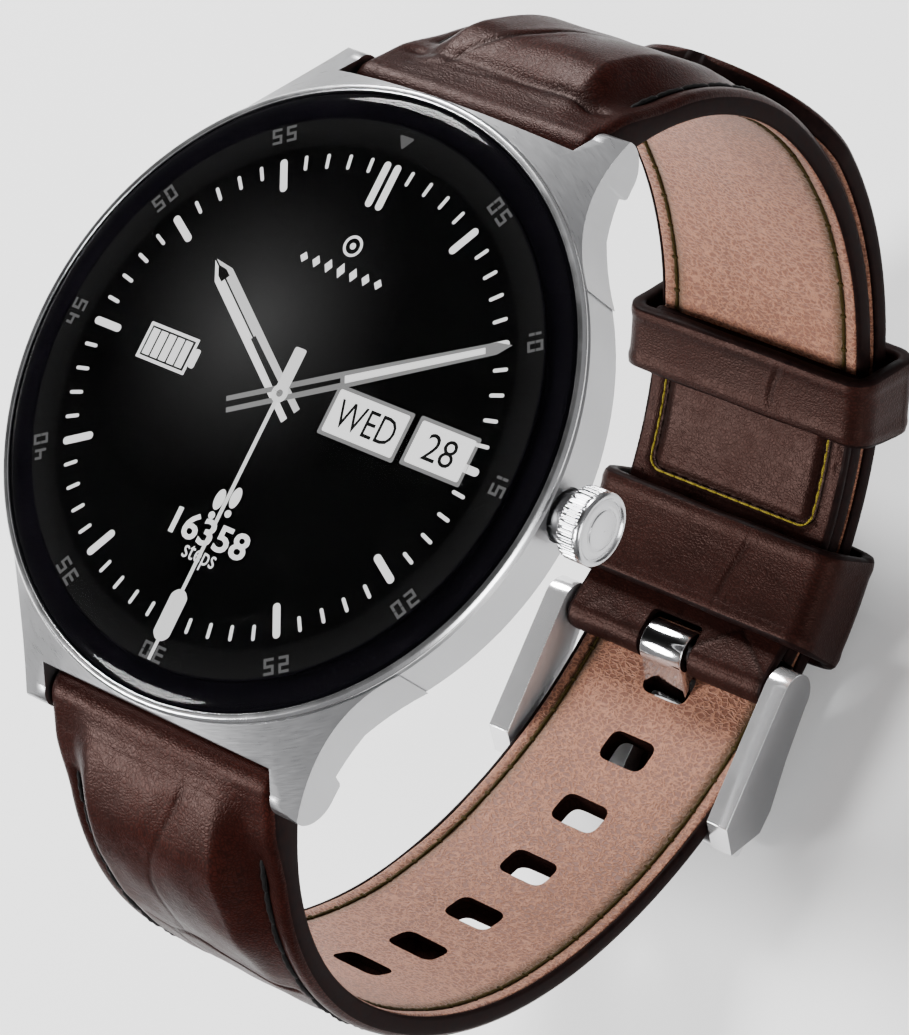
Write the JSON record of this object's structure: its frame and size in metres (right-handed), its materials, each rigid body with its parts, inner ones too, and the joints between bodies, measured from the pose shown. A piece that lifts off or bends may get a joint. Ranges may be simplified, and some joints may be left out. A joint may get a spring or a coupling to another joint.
{
  "type": "smartwatch",
  "caption": "Round smartwatch with a steel case, a push crown at three o'clock and a padded leather strap closed with a pin buckle.",
  "frame": {"origin": "centre of the case back's outer face", "axes": "+Z out of the dial, +Y towards 12 o'clock, +X towards the crown at 3 o'clock"},
  "size_m": [0.0509, 0.0778, 0.0681],
  "materials": {
    "steel_satin": "satin",
    "steel_polished": "polished",
    "steel_inner": "satin",
    "glass": "gloss",
    "display": "gloss",
    "plastic": "matte",
    "rubber": "matte",
    "board": "matte",
    "leds": "gloss",
    "gold": "satin",
    "magnet": "satin",
    "cell": "satin",
    "leather": "satin",
    "lining": "matte",
    "foam": "matte",
    "thread_dark": "matte",
    "thread_yellow": "matte"
  },
  "bodies": {
    "watch": {"case_frame": "steel_satin", "bezel_ring": "steel_polished", "cover_glass": "glass", "glass_gasket": "rubber", "display_panel": "display", "inner_frame": "plastic", "main_board": "board", "shield_cans": "steel_inner", "battery": "cell", "vibration_motor": "steel_inner", "speaker": "plastic", "microphone": "gold", "antenna": "gold", "back_cover": "plastic", "back_seal": "rubber", "back_screws": "steel_inner", "sensor_window": "glass", "sensor_board": "board", "sensor_leds": "leds", "charging_pins": "gold", "charging_magnets": "magnet", "crown_tube": "steel_inner", "crown_switch": "plastic", "upper_bar_tube": "steel_inner", "lower_bar_tube": "steel_inner", "buckle_bar_tube": "steel_inner", "bar_springs": "steel_inner", "upper_strap_leather": "leather", "upper_strap_lining": "lining", "upper_strap_padding": "foam", "upper_strap_thread": "thread_dark", "buckle_loop": "leather", "loop_thread": "thread_yellow", "fixed_keeper": "leather", "lower_strap_leather": "leather", "lower_strap_lining": "lining", "lower_strap_padding": "foam", "lower_strap_thread": "thread_dark"},
    "crown_push": {"switch_button": "gold"},
    "crown": {"crown_knob": "steel_polished", "crown_stem": "steel_inner", "crown_seals": "rubber", "crown_clip": "steel_inner"},
    "free_keeper": {"free_keeper": "leather"},
    "buckle_frame": {"buckle_frame": "steel_polished"},
    "tongue": {"buckle_tongue": "steel_polished"},
    "upper_tip_left": {"upper_bar_tip_left": "steel_inner"},
    "upper_tip_right": {"upper_bar_tip_right": "steel_inner"},
    "lower_tip_left": {"lower_bar_tip_left": "steel_inner"},
    "lower_tip_right": {"lower_bar_tip_right": "steel_inner"},
    "buckle_tip_left": {"buckle_bar_tip_left": "steel_inner"},
    "buckle_tip_right": {"buckle_bar_tip_right": "steel_inner"}
  },
  "joints": [
    {"name": "crown_press", "type": "slide", "parent": "watch", "child": "crown_push", "axis": [-1, 0, 0], "range_m": [0, 0.0005], "stiffness_N_per_m": 1500, "springref_m": -0.0003},
    {"name": "crown_turn", "type": "hinge", "parent": "crown_push", "child": "crown", "pos_m": [0.0243, 0, 0.0071], "axis": [1, 0, 0], "continuous": true},
    {"name": "keeper_slide", "type": "hinge", "parent": "watch", "child": "free_keeper", "pos_m": [0, 0.003, -0.0188], "axis": [1, 0, 0], "range_deg": [-14, 30]},
    {"name": "buckle_swing", "type": "hinge", "parent": "watch", "child": "buckle_frame", "pos_m": [0, 0.0006, -0.0516], "axis": [1, 0, 0], "range_deg": [0, 8]},
    {"name": "tongue_lift", "type": "hinge", "parent": "buckle_frame", "child": "tongue", "pos_m": [0, 0.0006, -0.0516], "axis": [1, 0, 0], "range_deg": [0, 6]},
    {"name": "upper_tip_left_retract", "type": "slide", "parent": "watch", "child": "upper_tip_left", "axis": [1, 0, 0], "range_m": [0, 0.00125], "stiffness_N_per_m": 400, "springref_m": -0.001},
    {"name": "upper_tip_right_retract", "type": "slide", "parent": "watch", "child": "upper_tip_right", "axis": [-1, 0, 0], "range_m": [0, 0.00125], "stiffness_N_per_m": 400, "springref_m": -0.001},
    {"name": "lower_tip_left_retract", "type": "slide", "parent": "watch", "child": "lower_tip_left", "axis": [1, 0, 0], "range_m": [0, 0.00125], "stiffness_N_per_m": 400, "springref_m": -0.001},
    {"name": "lower_tip_right_retract", "type": "slide", "parent": "watch", "child": "lower_tip_right", "axis": [-1, 0, 0], "range_m": [0, 0.00125], "stiffness_N_per_m": 400, "springref_m": -0.001},
    {"name": "buckle_tip_left_retract", "type": "slide", "parent": "watch", "child": "buckle_tip_left", "axis": [1, 0, 0], "range_m": [0, 0.00125], "stiffness_N_per_m": 400, "springref_m": -0.001},
    {"name": "buckle_tip_right_retract", "type": "slide", "parent": "watch", "child": "buckle_tip_right", "axis": [-1, 0, 0], "range_m": [0, 0.00125], "stiffness_N_per_m": 400, "springref_m": -0.001}
  ]
}
